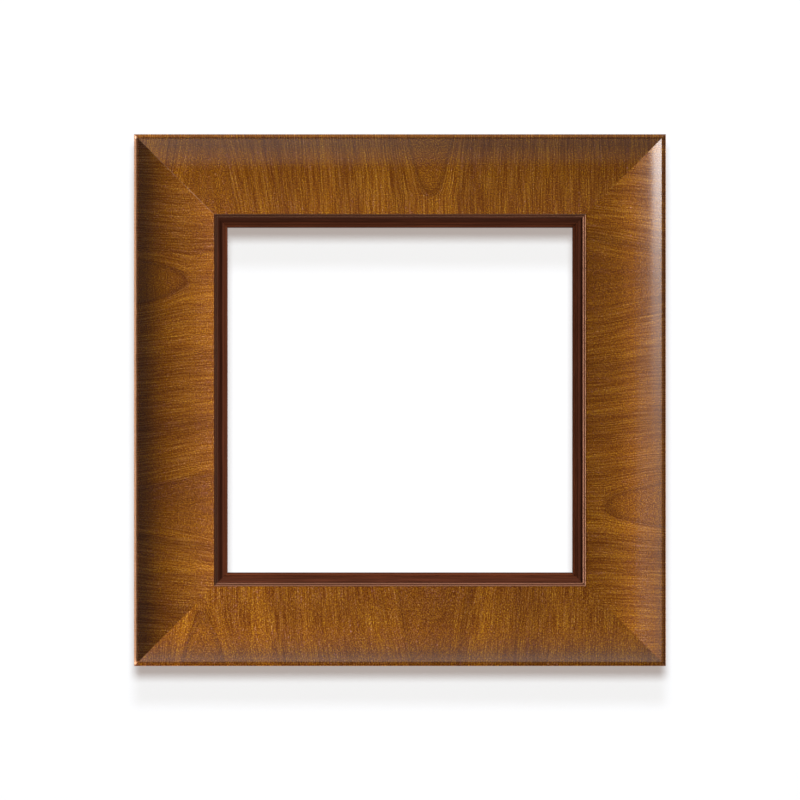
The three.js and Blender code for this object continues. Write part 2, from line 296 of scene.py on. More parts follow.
def veneer_outline():
    outer = arc((crest_inset, MOULDING_DEPTH - outer_radius), outer_radius,
                math.pi / 2 + FOOT_SLOPE, math.pi / 2, 40)
    inner = arc((crest_inset, MOULDING_DEPTH - inner_radius), inner_radius,
                math.pi / 2, math.pi / 2 - SIGHT_SLOPE, 14)
    face = [Vector((0, 0)), Vector((0, cove_height + RIM_RISE)),
            Vector((RIM_WIDTH, cove_height)), Vector((COVE_WIDTH, cove_height)),
            *outer, *inner[1:]]
    glued = moved_inwards(face, VENEER_THICKNESS)
    soft = {0: EDGE_ROUNDING, 1: RIM_ROUNDING, 2: COVE_ROUNDING, 3: COVE_ROUNDING,
            4: FOOT_ROUNDING, len(face) - 1: EDGE_ROUNDING}
    return rounded(face + glued[::-1], soft)


def joined(tree, x, y, z=0.0):
    return add(tree, "ShaderNodeCombineXYZ", {0: x, 1: y, 2: z}).outputs[0]


def product(tree, first, *others):
    for other in others:
        first = calc(tree, "MULTIPLY", first, other)
    return first


def new_tree(name, inputs, output):
    """A Geometry Nodes tree and its inputs, which are given as names with kinds of socket."""
    tree = bpy.data.node_groups.new(name, "GeometryNodeTree")
    for socket, kind in inputs.items():
        tree.interface.new_socket(socket, in_out="INPUT", socket_type=f"NodeSocket{kind}")
    tree.interface.new_socket(output, in_out="OUTPUT", socket_type="NodeSocketGeometry")
    return tree, add(tree, "NodeGroupInput").outputs


def end_tree(tree, geometry, finish):
    """Ends a tree in plain geometry with its finish."""
    whole = add(tree, "GeometryNodeRealizeInstances", {"Geometry": geometry})
    done = add(tree, "GeometryNodeSetMaterial", {"Geometry": whole.outputs[0], "Material": finish})
    plug(tree, add(tree, "NodeGroupOutput").inputs[0], done.outputs[0])
    return tree


def rail_tree():
    """Runs a moulding's outline along a rail and cuts the mitres: each point of an end is drawn
    in by its own inset. The rail lies at the bottom, then turns by quarters round the middle."""
    tree, given = new_tree("mitred_rail", {
        "Outline": "Geometry", "Half side": "Float", "Back plane": "Float",
        "Wall height": "Float", "Steps": "Int", "Quarter turns": "Int",
        "Finish": "Material"}, "Rail")
    spot = split(tree, add(tree, "GeometryNodeInputPosition").outputs[0])

    def kept(geometry, values):
        """Keeps values on the points of a curve, so that they last through the sweep."""
        store = add(tree, "GeometryNodeCaptureAttribute")
        for name in values:
            store.capture_items.new("FLOAT", name)
        for name, value in {"Geometry": geometry, **values}.items():
            plug(tree, store.inputs[name], value)
        return store.outputs

    outline = add(tree, "GeometryNodeMeshToCurve", {"Mesh": given["Outline"]})
    outline = kept(outline.outputs["Curve"], {"Inset": spot["X"], "Height": spot["Y"]})
    line = add(tree, "GeometryNodeCurvePrimitiveLine", {"Start": (-1, 0, 0), "End": (1, 0, 0)})
    line = add(tree, "GeometryNodeResampleCurve",
               {"Curve": line.outputs["Curve"], "Count": given["Steps"]})
    line = kept(line.outputs["Curve"], {"Along": spot["X"]})
    swept = add(tree, "GeometryNodeCurveToMesh", {
        "Curve": line["Geometry"], "Profile Curve": outline["Geometry"], "Fill Caps": True})

    inset = outline["Inset"]
    height = outline["Height"]
    along = product(tree, line["Along"], minus(tree, given["Half side"], inset))
    place = joined(tree, along, minus(tree, given["Back plane"], height), inset)
    turned = add(tree, "ShaderNodeVectorRotate", {
        "Vector": place, "Center": joined(tree, 0.0, 0.0, given["Half side"]),
        "Axis": (0, 1, 0), "Angle": product(tree, given["Quarter turns"], math.pi / 2)})
    placed = add(tree, "GeometryNodeSetPosition",
                 {"Geometry": swept.outputs["Mesh"], "Position": turned.outputs[0]})
    down_wall = calc(tree, "MINIMUM", minus(tree, height, given["Wall height"]), 0.0)
    marked = add(tree, "GeometryNodeStoreNamedAttribute", {
        "Geometry": placed.outputs[0], "Name": "grain",
        "Value": joined(tree, along, calc(tree, "ADD", inset, down_wall))},
        data_type="FLOAT2", domain="CORNER")
    return end_tree(tree, marked.outputs[0], given["Finish"])


def applied(piece):
    """Turns a piece with modifiers into a plain closed mesh with its faces outwards."""
    bpy.context.view_layer.update()
    shown = piece.evaluated_get(bpy.context.evaluated_depsgraph_get())
    piece.data = bpy.data.meshes.new_from_object(shown)
    piece.modifiers.clear()
    shape = bmesh.new()
    shape.from_mesh(piece.data)
    bmesh.ops.remove_doubles(shape, verts=shape.verts, dist=1e-7)
    bmesh.ops.recalc_face_normals(shape, faces=shape.faces)
    shape.to_mesh(piece.data)
    shape.free()
    return piece


def new_piece(name, mesh):
    piece = bpy.data.objects.new(name, mesh)
    scene.collection.objects.link(piece)
    return piece


def drawn(name, points, edges=(), faces=()):
    """A new piece made of points and what joins them."""
    mesh = bpy.data.meshes.new(name)
    mesh.from_pydata(points, edges, faces)
    return new_piece(name, mesh)


def set_tree(piece, tree, values):
    """Puts a node tree on a piece, with its inputs set by their identifiers."""
    modifier = piece.modifiers.new(tree.name, "NODES")
    modifier.node_group = tree
    for socket in tree.interface.items_tree:
        if socket.item_type == "SOCKET" and socket.in_out == "INPUT" and socket.name in values:
            modifier[socket.identifier] = values[socket.name]


def smooth_by_angle(piece, degrees=35):
    piece.data.shade_smooth()
    piece.data.set_sharp_from_angle(angle=math.radians(degrees))


def mitred_rail(name, outline, quarter, wall_height, material):
    edges = [(i, (i + 1) % len(outline)) for i in range(len(outline))]
    rail = drawn(name, [(p.x, p.y, 0) for p in outline], edges)
    set_tree(rail, mitred_rail_tree, {
        "Half side": half_side, "Back plane": back_plane, "Wall height": wall_height,
        "Steps": RAIL_STEPS, "Quarter turns": quarter, "Finish": material})
    smooth_by_angle(applied(rail), 32)
    return rail


# The four veneers are leaves of one log, laid in the same order, so they share one figure: an
# arch that closes towards the picture, then a funnel that opens towards it. Each leaf has its own
# place along the rail, from the rail's middle, and its arch an apex and a taper across it. Its
# tone changes by the light drift for each millimetre, a painted gradient of light along the rail,
# and by "across" at the painted shade places, painted light and shade over the profile: lighter
# where it faces the key light, darker in the cove and on slopes that face away. The other values
# say how cool it is, partly its own tint and partly painted sheen, how far its outer edge is rubbed
# pale, which on the left rim is mostly a painted highlight, and how strong its streaks are.
# All places are in millimetres.
PAINTED_SHADE_PLACES = (0, 1.1, 1.7, 2.3, 2.8, 6.3, 12, 19, 27, 44.4)
VENEER_LEAVES = {
    "bottom": {"arch": -109, "apex": 30.5, "taper": 1.4, "tone": 1.05, "blue": 0.9, "light_drift": -0.002,
               "rubbed": 0.0, "bands": 0.25, "lines": 0.0, "threads": 0.22, "fine": 1.0,
               "across": (1.0, 0.93, 0.6, 0.6, 0.7, 0.65, 0.88, 0.99, 0.98, 0.95)},
    "left": {"arch": -66, "apex": 29.4, "taper": 0.9, "tone": 1.08, "blue": 1.4, "light_drift": 0.0,
             "rubbed": 1.0, "bands": 0.28, "lines": 0.15, "threads": 0.45, "fine": 0.95,
             "across": (1.0, 0.95, 1.2, 1.2, 0.8, 0.8, 0.95, 0.94, 0.93, 1.09)},
    "top": {"arch": -17, "apex": 33.8, "taper": 0.9, "tone": 0.95, "blue": 0.55, "light_drift": 0.0014,
            "rubbed": 0.1, "bands": 0.24, "lines": 0.0, "threads": 0.2, "fine": 1.12,
            "across": (1.0, 0.92, 0.68, 0.68, 0.88, 0.7, 0.86, 0.91, 0.95, 1.03)},
    "right": {"arch": -58, "apex": 33.8, "taper": 0.9, "tone": 0.97, "blue": 0.55, "light_drift": -0.0005,
              "rubbed": 0.1, "bands": 0.23, "lines": 0.0, "threads": 0.42, "fine": 0.96,
              "across": (1.0, 0.95, 0.55, 0.55, 0.54, 0.7, 0.81, 0.98, 1.0, 0.89)},
}
ARCH_HALF_WIDTH = 12.3
FUNNEL_FROM_ARCH = 125
FUNNEL_SPREAD = 0.0155
FUNNEL_REACH = 22
FUNNEL_FALL = 2.5
LEAF_SHIFT = 0.9
# The streaks beside the arch and beside the funnel: millimetres from the arch's middle beyond its
# apex, and how golden (above 0) or dark (below 0) the veneer is there.
ARCH_STREAKS = (
    (-96, -0.4), (-84, -0.5), (-76, -0.4), (-68, 0.5), (-60, 0.1), (-50, 0.1), (-45, -0.1),
    (-38, 0.1), (-32, -0.2), (-28, -0.6), (-24.5, -0.2), (-21.5, -0.9), (-18, -0.5),
    (-15.5, -0.9), (-11, 0.9), (-6.5, 1.1), (0, 0.4), (6.5, 0.7), (9.5, 0.8), (13, 0.2), (18, 0.0),
    (24, 0.4), (28, 0.9), (31, 1.0), (35, 0.6), (42, -0.4), (46, -0.7), (52, -0.4), (56, 0.5),
    (62, 0.0),
)
FUNNEL_STREAKS = (
    (62, 0.0), (75, 0.0), (79, -0.6), (82, -1.1), (85, -0.9), (88, -0.4), (98.5, 0.5), (103, 0.0),
    (111, 0.3), (113.6, -0.2), (115, -1.1), (117, 0.0), (125, -0.4), (134, 0.3), (137, 0.7),
    (139.5, -1.2), (142.5, -0.9), (146, 0.3), (149, 0.4), (152.5, 1.7), (155.5, 1.4), (160, 0.5),
    (168.5, 0.4), (171.5, -0.4), (174.5, 0.3), (181, -1.0), (184, -0.6), (193, 0.6), (205, 0.2),
    (215, 0.6), (224, 0.6),
)
# The noise patterns: how close they lie along and across the rail, seed, detail, roughness.
PATTERNS = {
    "sway": (0.03, 0.035, 3.3, 2.0, 0.5),
    "uneven": (0.2, 0.05, 1.2, 2.0, 0.5),
    "broad": (0.1, 0.005, 1.7, 1.0, 0.5),
    "lines": (0.34, 0.011, 5.1, 1.0, 0.5),
    "threads": (0.85, 0.018, 8.8, 1.0, 0.7),
    "mottle": (0.8, 0.55, 9.6, 1.0, 0.5),
    "fibres": (1.8, 0.06, 7.9, 0.0, 0.5),
    "specks": (1.7, 1.5, 2.2, 0.0, 0.5),
    "cool": (0.5, 0.03, 4.4, 2.0, 0.6),
    "cool_specks": (1.4, 1.3, 6.6, 0.0, 0.5),
}
# How strongly the figure shows, darker below 0, and how strongly the patterns do.
STRENGTHS = {
    "outline": -0.46, "arch": -0.02, "funnel": -0.07, "sway": 2.0, "broad": 0.7, "mottle": 1.1,
    "fibres": 3.6, "specks": 7.4, "cool": 3.2, "cool_specks": 5.0,
}
# The parts of the broad, the middle, the fine and the cool patterns in red, green and blue.
CHANNELS = ((0.63, 0.56, 0.31, 0.0), (0.77, 0.69, 0.47, 0.0), (-0.05, 0.5, 0.83, 1.0))
# Painted sheen: blue drifts further than red and green along the rail, and a band near the crest is
# painted less blue, where it shows no sheen.
PAINTED_SHEEN_DRIFT = 1.7
UNSHEENED_CREST_PLACE = 28.5
UNSHEENED_CREST_SHARE = 0.35
# Where these fade, in millimetres. The first two are in square ones from the arch's outline.
ARCH_EDGE = (-14.0, 6.0)
OUTLINE_EDGE = (4.0, 34.0)
FUNNEL_EDGE = (6.8, 11.8)
UNSHEENED_CREST_EDGE = (3.0, 10.0)
RUBBED_AND_LIT_EDGE = (0.8, 2.3)
MITRE_GLINT_EDGE = (0.1, 0.5)
VENEER_STAIN = paint(131, 73.6, 10.5)
# Pale colour of the rubbed outer rim, which on the left rail is mostly a painted highlight.
VENEER_RUBBED_AND_LIT = paint(238, 176, 130)
LACQUER_ROUGHNESS = 0.27
# The rail whose mitre gets a painted glint, and the glint's colour.
GLINTING_MITRE_SIDE = "left"
MITRE_GLINT_COLOUR = paint(190, 150, 128)


def ranged(tree, value, limits, ease="SMOOTHSTEP"):
    return add(tree, "ShaderNodeMapRange", {"Value": value, **limits},
               interpolation_type=ease).outputs[0]


def distance(tree, value, place=0.0):
    return calc(tree, "ABSOLUTE", minus(tree, value, place))


def veneer_finish(side, leaf):
    """Cross-banded veneer under a satin lacquer. Everything is drawn in millimetres along and
    across the rail. The streaks run straight across it, and part round the arch and the funnel."""

    def base(tree):
        spot = split(tree, add(tree, "ShaderNodeUVMap", uv_map="grain").outputs[0])
        place = calc(tree, "DIVIDE", spot["X"], MM)
        along = minus(tree, place, leaf["arch"])
        across = calc(tree, "DIVIDE", spot["Y"], MM)

        def fade(value, near, far):
            """1 where the value is below near, falling softly to 0 at far."""
            return ranged(tree, value, {
                "From Min": near, "From Max": far, "To Min": 1.0, "To Max": 0.0})

        def pattern(name, lengthwise):
            """Noise over a place along the rail and the place across it, new in each leaf."""
            close_along, close_across, seed, detail, roughness = PATTERNS[name]
            point = joined(tree, product(tree, lengthwise, close_along),
                           product(tree, across, close_across), seed + QUARTERS[side] * LEAF_SHIFT)
            return noise(tree, point, 1.0, detail, roughness)

        def profile(value, stops, low, high, ease="LINEAR"):
            """Follows stops, which are pairs of a place and a level between low and high."""
            start, end = stops[0][0], stops[-1][0]
            reached = calc(tree, "DIVIDE", minus(tree, value, start), end - start)
            level = ramp(tree, reached, [((stop - start) / (end - start), (at - low) / (high - low))
                                         for stop, at in stops], ease)
            return total(tree, low, (level, high - low))

        left = minus(tree, 1.0, calc(tree, "DIVIDE", across, leaf["apex"]))
        spread = calc(tree, "POWER", calc(tree, "MAXIMUM", left, 0.0), leaf["taper"])
        bent = total(tree, along, (pattern("sway", along), STRENGTHS["sway"]))
        apart = minus(tree, product(tree, bent, bent), product(tree, spread, ARCH_HALF_WIDTH ** 2))
        streak = calc(tree, "SQRT", calc(tree, "MAXIMUM", apart, 0.0))
        streak = product(tree, streak, calc(tree, "SIGN", bent))
        off = minus(tree, streak, FUNNEL_FROM_ARCH)
        farness = calc(tree, "DIVIDE", distance(tree, off), FUNNEL_REACH)
        farness = calc(tree, "POWER", farness, FUNNEL_FALL)
        nearness = calc(tree, "DIVIDE", 1.0, calc(tree, "ADD", farness, 1.0))
        opening = product(tree, across, FUNNEL_SPREAD, nearness)
        off = product(tree, off, minus(tree, 1.0, opening))
        streak = calc(tree, "ADD", off, FUNNEL_FROM_ARCH)
        in_arch = fade(apart, *ARCH_EDGE)
        in_funnel = fade(distance(tree, off), *FUNNEL_EDGE)
        figured = calc(tree, "MAXIMUM", in_arch, in_funnel)
        plain = minus(tree, 1.0, figured)
        outline = product(tree, fade(distance(tree, apart), *OUTLINE_EDGE),
                          fade(across, leaf["apex"] - 0.5, leaf["apex"] + 2.5))

        uneven = pattern("uneven", streak)
        bands = calc(tree, "ADD", profile(streak, ARCH_STREAKS, -2.0, 2.0, "EASE"),
                     profile(streak, FUNNEL_STREAKS, -2.0, 2.0, "EASE"))
        bands = product(tree, bands, total(tree, 0.95, (uneven, 1.2)), minus(tree, 1.0, in_arch))
        broad = total(tree, 0.0, (pattern("broad", streak), STRENGTHS["broad"]),
                      (pattern("lines", streak), leaf["lines"]), (bands, leaf["bands"]),
                      (outline, STRENGTHS["outline"]), (in_arch, STRENGTHS["arch"]),
                      (in_funnel, STRENGTHS["funnel"]))
        middle = total(tree, 0.0, (product(tree, pattern("threads", streak), plain), leaf["threads"]),
                       (product(tree, pattern("mottle", along), figured), STRENGTHS["mottle"]))
        fibres = product(tree, pattern("fibres", streak), total(tree, 0.3, (plain, 0.7)))
        fine = total(tree, 0.0, (fibres, STRENGTHS["fibres"] * leaf["fine"]),
                     (pattern("specks", along), STRENGTHS["specks"] * leaf["fine"]))
        patchy = 1.7 - 0.65 * leaf["blue"]
        blue = total(tree, 0.0, (pattern("cool", streak), STRENGTHS["cool"] * patchy),
                     (pattern("cool_specks", along), STRENGTHS["cool_specks"] * patchy))
        logs = [total(tree, 0.0, *zip((broad, middle, fine, blue), parts)) for parts in CHANNELS]
        shade = joined(tree, *[calc(tree, "EXPONENT", log) for log in logs])

        # Painted light and shade across the profile: lighter where it faces the key, darker in the
        # cove and on slopes facing away.
        painted_shade_across = list(zip(PAINTED_SHADE_PLACES, leaf["across"]))
        colour = tinted(tree, VENEER_STAIN, shade)
        colour = tinted(tree, colour, profile(across, painted_shade_across, 0.0, 2.0))
        # Painted light: the tone drifts along the rail, and the blue of a painted sheen drifts
        # further.
        light_drift = product(tree, place, leaf["light_drift"])
        level = product(tree, calc(tree, "EXPONENT", light_drift), leaf["tone"])
        cool = calc(tree, "EXPONENT", product(tree, light_drift, PAINTED_SHEEN_DRIFT))
        # A band at the crest painted less blue, where it shows no sheen.
        unsheened_crest = fade(distance(tree, across, UNSHEENED_CREST_PLACE), *UNSHEENED_CREST_EDGE)
        cool = product(tree, cool, leaf["tone"] * leaf["blue"],
                       total(tree, 1.0, (unsheened_crest, -UNSHEENED_CREST_SHARE)))
        colour = tinted(tree, colour, joined(tree, level, level, cool))
        # The outer rim rubbed pale: a little wear, and on the left rail mostly a painted highlight.
        rubbed = product(tree, fade(across, *RUBBED_AND_LIT_EDGE), leaf["rubbed"])
        colour = mix(tree, rubbed, colour, VENEER_RUBBED_AND_LIT)
        # Painted glint along the mitre at the top-left corner.
        if side == GLINTING_MITRE_SIDE:
            run = calc(tree, "ADD", place, half_side / MM)
            slit = fade(minus(tree, run, across), *MITRE_GLINT_EDGE)
            slit = product(tree, slit, total(tree, 0.5, (uneven, 2.4)))
            colour = mix(tree, slit, colour, MITRE_GLINT_COLOUR)
        return colour, fibres, total(tree, LACQUER_ROUGHNESS, (fibres, 0.1))

    return finish_material(f"cross_banded_veneer_{side}", base, 0.003 * MM)


mitred_rail_tree = rail_tree()
for side, leaf in VENEER_LEAVES.items():
    veneer = mitred_rail(f"cushion_veneer_{side}", veneer_outline(), QUARTERS[side],
                         cove_height, veneer_finish(side, leaf))
    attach(veneer, "frame")
    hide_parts(f"veneer_{side}")


# Slips: four L-shaped lengths of red-brown stained wood, glued into the core's rebate behind its
# lip. Two fine reeds, a shallow hollow and a rounded member with a quirk lead to the sight edge.
CORE_REBATE_WIDTH = 6.4 * MM
CORE_LIP_THICKNESS = 5.2 * MM
GLUE_LINE = 0.1 * MM
SLIP_BACK_INSET = 2 * MM
GLASS_SEAT_HEIGHT = 14 * MM
REBATE_INSET = 44.75 * MM
REED_COUNT = 2
REED_WIDTH = 1.1 * MM
REED_RISE = 0.5 * MM
REED_FLANK = 0.5 * MM
REED_NOTCH = 0.1 * MM
REED_ROUNDING = 0.2 * MM
HOLLOW_WIDTH = 2.1 * MM
HOLLOW_DROP = 0.4 * MM
HOLLOW_SAG = 0.15 * MM
INNER_MEMBER_RISE = 0.3 * MM
INNER_MEMBER_QUIRK = 0.3 * MM
SIGHT_EDGE_DROP = 3.4 * MM


def bow(start, end, rise, steps):
    """Points after start of a shallow arc to end, which stands proud on its left side."""
    run = end - start
    left = Vector((-run.y, run.x)).normalized()
    shares = [i / steps for i in range(1, steps + 1)]
    return [start + run * t + left * (4 * rise * t * (1 - t)) for t in shares]


def slip_outline():
    core_rebate = VENEER_FACE_WIDTH - CORE_REBATE_WIDTH
    leg_top = sight_height - VENEER_THICKNESS - 2 * GLUE_LINE - CORE_LIP_THICKNESS
    leg = core_rebate + GLUE_LINE
    arm = VENEER_FACE_WIDTH + GLUE_LINE
    sight_inset = VENEER_FACE_WIDTH + SLIP_FACE_WIDTH
    points = [Vector((leg, SLIP_BACK_INSET)), Vector((leg, leg_top)), Vector((arm, leg_top))]
    soft = {0: 2 * EDGE_ROUNDING}
    for reed in range(REED_COUNT):
        start = arm + reed * REED_WIDTH
        points.append(Vector((start, sight_height - REED_RISE)))
        soft[len(points)] = REED_ROUNDING
        points.append(Vector((start + REED_FLANK, sight_height)))
        soft[len(points)] = REED_NOTCH
        points.append(Vector((start + REED_WIDTH - REED_NOTCH, sight_height)))
    hollow_start = Vector((arm + REED_COUNT * REED_WIDTH, sight_height - REED_RISE))
    hollow_end = hollow_start + Vector((HOLLOW_WIDTH, REED_RISE - HOLLOW_DROP))
    points += [hollow_start, *bow(hollow_start, hollow_end, -HOLLOW_SAG, 10)]
    sight_edge = Vector((sight_inset, sight_height - SIGHT_EDGE_DROP))
    quirk = (hollow_end + sight_edge) / 2 - Vector((0, INNER_MEMBER_QUIRK))
    points += bow(hollow_end, quirk, INNER_MEMBER_RISE, 12)
    points += bow(quirk, sight_edge, INNER_MEMBER_RISE, 12)
    arris = len(points) - 1
    points += [Vector((sight_inset, GLASS_SEAT_HEIGHT)), Vector((REBATE_INSET, GLASS_SEAT_HEIGHT)),
               Vector((REBATE_INSET, SLIP_BACK_INSET))]
    soft.update({arris: EDGE_ROUNDING, arris + 1: EDGE_ROUNDING, arris + 3: 2 * EDGE_ROUNDING})
    return rounded(points, soft)


# The slips differ in their tone, in how much lighter the inner member is painted, a painted
# highlight strongest on the right, and in how far the reeds are rubbed pale, wear with a painted
# highlight on their outer flanks.
SLIPS = {
    "bottom": {"tone": 2.2, "member": 1.9, "rubbed": 0.47},
    "left": {"tone": 0.88, "member": 1.9, "rubbed": 0.37},
    "top": {"tone": 0.98, "member": 1.7, "rubbed": 0.22},
    "right": {"tone": 1.38, "member": 5.2, "rubbed": 0.7},
}
SLIP_GLAZE = ((0.0, paint(40, 18, 11)), (0.5, paint(58, 29, 18)), (1.0, paint(84, 42, 27)))
# Pale colour of the reeds' outer flanks: rubbed wear with a painted highlight.
SLIP_RUBBED_AND_LIT = paint(240, 174, 138)
GLAZE_ROUGHNESS = 0.5
# How far across each reed the wear and its painted highlight reach.
REED_WEAR_AND_LIGHT = ((0.0, 0.9), (0.1, 1.0), (0.34, 0.9), (0.5, 0.1))
SLIP_FRONT_DEPTH = 3.8 * MM
# Where the inner member starts to be painted lighter.
LIT_MEMBER_PLACE = {"From Min": 49.0 * MM, "From Max": 49.6 * MM}
# Where the quirk's painted shade lies, and how dark it is.
QUIRK_PLACE = 50.1 * MM
QUIRK_SHADE_LEVELS = {"From Max": 0.5 * MM, "To Min": 0.72, "To Max": 1.0}


def slip_finish(side, given):
    """Stained wood under a dark glaze and lacquer, with its fine grain along the rail. The glaze is
    rubbed thin on the outer flank of each reed, where a painted highlight lies too. The inner member
    is painted lighter, most on the right, and the quirk gets painted shade."""

    def base(tree):
        spot = add(tree, "ShaderNodeUVMap", uv_map="grain").outputs[0]
        inset = split(tree, spot)["Y"]
        stretched = add(tree, "ShaderNodeMapping", {
            "Vector": spot, "Scale": (30, 1100, 1),
            "Location": (QUARTERS[side], QUARTERS[side], 0)}).outputs["Vector"]
        grain = noise(tree, stretched, 1.0, 3.0, 0.6)
        patches = noise(tree, stretched, 0.18)
        shade = total(tree, 0.5, (grain, 1.1), (patches, 0.6))
        colour = tinted(tree, ramp(tree, shade, SLIP_GLAZE), given["tone"])
        reed = minus(tree, inset, VENEER_FACE_WIDTH + GLUE_LINE)
        reed = calc(tree, "DIVIDE", reed, REED_WIDTH)
        in_reeds = calc(tree, "COMPARE", reed, REED_COUNT / 2, REED_COUNT / 2)
        depth = split(tree, add(tree, "ShaderNodeTexCoord").outputs["Object"])["Y"]
        in_front = calc(tree, "LESS_THAN", depth, back_plane - sight_height + SLIP_FRONT_DEPTH)
        # The reeds' outer flanks: rubbed wear with a painted highlight, strongest on the right.
        worn_and_lit = ramp(tree, calc(tree, "FRACT", reed), REED_WEAR_AND_LIGHT)
        rubbed = product(tree, in_reeds, in_front, worn_and_lit, given["rubbed"],
                         total(tree, 0.9, (patches, 0.5)))
        colour = mix(tree, rubbed, colour, SLIP_RUBBED_AND_LIT)
        # Painted light: the inner member is lighter, most on the right rail.
        member = ranged(tree, inset, LIT_MEMBER_PLACE, "LINEAR")
        painted_member_light = (given["member"], 0.94 * given["member"], 0.8 * given["member"], 1)
        colour = mix(tree, product(tree, member, in_front), colour, tinted(tree, colour, painted_member_light))
        # Painted shade along the quirk.
        quirk_shade = ranged(tree, distance(tree, inset, QUIRK_PLACE), QUIRK_SHADE_LEVELS, "LINEAR")
        rough = total(tree, GLAZE_ROUGHNESS, (grain, 0.12))
        return tinted(tree, colour, quirk_shade), grain, rough

    return finish_material(f"stained_slip_{side}", base, 0.004 * MM, specular=0.015)


for side, given in SLIPS.items():
    slip = mitred_rail(f"reeded_slip_{side}", slip_outline(), QUARTERS[side], 0.0,
                       slip_finish(side, given))
    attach(slip, "frame")
    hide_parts(f"slip_{side}")


# V-nails: two in each mitre, sunk in the back. They are rolled steel with a thin zinc plating, a
# little cloudy where it was handled, as on the rest of the hardware.
def zinc_finish(name, grey, roughness):
    def base(tree):
        place = add(tree, "ShaderNodeTexCoord").outputs["Object"]
        cloud = noise(tree, place, 260, 3.0, 0.6)
        spangle = add(tree, "ShaderNodeTexVoronoi", {"Vector": place, "Scale": 900}).outputs[0]
        colour = ramp(tree, total(tree, 0.5, (cloud, 0.5)), (
            (0.0, paint(grey - 26, grey - 24, grey - 20)), (0.5, paint(grey, grey + 1, grey + 3)),
            (1.0, paint(grey + 14, grey + 14, grey + 10))))
        rough = total(tree, roughness - 0.04, (spangle, 0.12), (cloud, 0.14))
        return colour, noise(tree, place, 2600), rough

    return finish_material(name, base, 0.01 * MM, metallic=1.0)


nail_zinc = zinc_finish("galvanised_nail", 170, 0.42)
for name, node in frame["nodes"].items():
    if name.startswith("v_nail"):
        refinish(node, nail_zinc)


# Turn buttons: pressed steel tongues, one on each screw, that taper from the boss to the tip.
# Their edges are rounded by the press, and each rides on its own body.
plated_zinc = zinc_finish("plated_zinc", 200, 0.3)
BUTTON_BOSS_RADIUS = 5.5 * MM
BUTTON_TIP_RADIUS = 3.8 * MM
BUTTON_HOLE_RADIUS = 1.8 * MM
BUTTON_REACH = 13.2 * MM
BUTTON_ROUNDING = 0.22 * MM


def thicken(shape, vec):
    """Makes a solid of flat faces by running them along a vector."""
    solid = bmesh.ops.extrude_face_region(shape, geom=shape.faces[:])
    far = [v for v in solid["geom"] if isinstance(v, bmesh.types.BMVert)]
    bmesh.ops.translate(shape, verts=far, vec=vec)


def closed_mesh(name, shape):
    """The mesh of a finished solid, with its faces outwards."""
    bmesh.ops.recalc_face_normals(shape, faces=shape.faces)
    mesh = bpy.data.meshes.new(name)
    shape.to_mesh(mesh)
    shape.free()
    return mesh


def softened(piece, width, segments, degrees):
    """Rounds the edges of a steel piece that turn by more than an angle, and plates it."""
    bevel = piece.modifiers.new("rounding", "BEVEL")
    bevel.width = width
    bevel.segments = segments
    bevel.limit_method = "ANGLE"
    bevel.angle_limit = math.radians(degrees)
    smooth_by_angle(applied(piece))
    piece.data.materials.append(plated_zinc)
    return piece


def turn_button(name, pivot, inwards):
    """The outline lies in X and Z round the pivot, and is as thick as its CAD node."""
    low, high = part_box(name)
    lean = math.asin((BUTTON_BOSS_RADIUS - BUTTON_TIP_RADIUS) / BUTTON_REACH)
    boss = arc((0, 0), BUTTON_BOSS_RADIUS, math.pi / 2 - lean, 3 * math.pi / 2 + lean, 30)
    tip = arc((BUTTON_REACH, 0), BUTTON_TIP_RADIUS, -math.pi / 2 + lean, math.pi / 2 - lean, 20)
    hole = arc((0, 0), BUTTON_HOLE_RADIUS, 0, 2 * math.pi, 32)[:-1]
    shape = bmesh.new()
    for loop in (boss + tip, hole):
        verts = [shape.verts.new((p.x, 0, p.y)) for p in loop]
        for a, b in zip(verts, verts[1:] + verts[:1]):
            shape.edges.new((a, b))
    bmesh.ops.triangle_fill(shape, use_beauty=True, edges=shape.edges[:])
    thicken(shape, (0, high.y - low.y, 0))
    bmesh.ops.transform(shape, verts=shape.verts,
                        matrix=Matrix.Translation((pivot.x, low.y, pivot.z))
                        @ Matrix.Diagonal((inwards, 1, 1, 1)))
    return softened(new_piece(f"pressed_{name}", closed_mesh(name, shape)), BUTTON_ROUNDING, 3, 50)


for joint in frame["joints"]:
    if joint["name"].startswith("turn_"):
        name = joint["name"].replace("turn_", "turn_button_")
        pivot = Vector(joint["pos_m"])
        button = turn_button(name, pivot, -1 if pivot.x > 0 else 1)
        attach(button, joint["child"])
        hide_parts(name)


# Screws: five pan-head wood screws with a cross recess and a rolled thread down to the point.
# Four clamp the turn buttons and one holds the hanger strap.
SCREW_SHANK_RADIUS = 1.5 * MM
SCREW_LENGTH = 13 * MM
SCREW_TIP_LENGTH = 3 * MM
SCREW_TIP_RADIUS = 0.1 * MM
SCREW_HEAD_RADIUS = 3.1 * MM
SCREW_HEAD_HEIGHT = 2.0 * MM
SCREW_HEAD_EDGE = 0.12 * MM
# Shares of the head's radius, and heights over its underside.
SCREW_HEAD = ((1.0, SCREW_HEAD_EDGE), (1.0, 0.7 * MM), (0.97, 1.0 * MM), (0.88, 1.36 * MM),
              (0.7, 1.7 * MM), (0.45, 1.9 * MM), (0.2, SCREW_HEAD_HEIGHT))
SCREW_THREAD_PITCH = 1.3 * MM
SCREW_THREAD_DEPTH = 0.42 * MM
SCREW_RIDGE_SHARE = 0.22
SCREW_PLAIN_LENGTH = 2.6 * MM
SCREW_RECESS_SPAN = 3.4 * MM
SCREW_RECESS_WIDTH = 0.8 * MM
SCREW_RECESS_DEPTH = 1.1 * MM
SCREW_SIDES = 24
THREAD_STEPS = 80


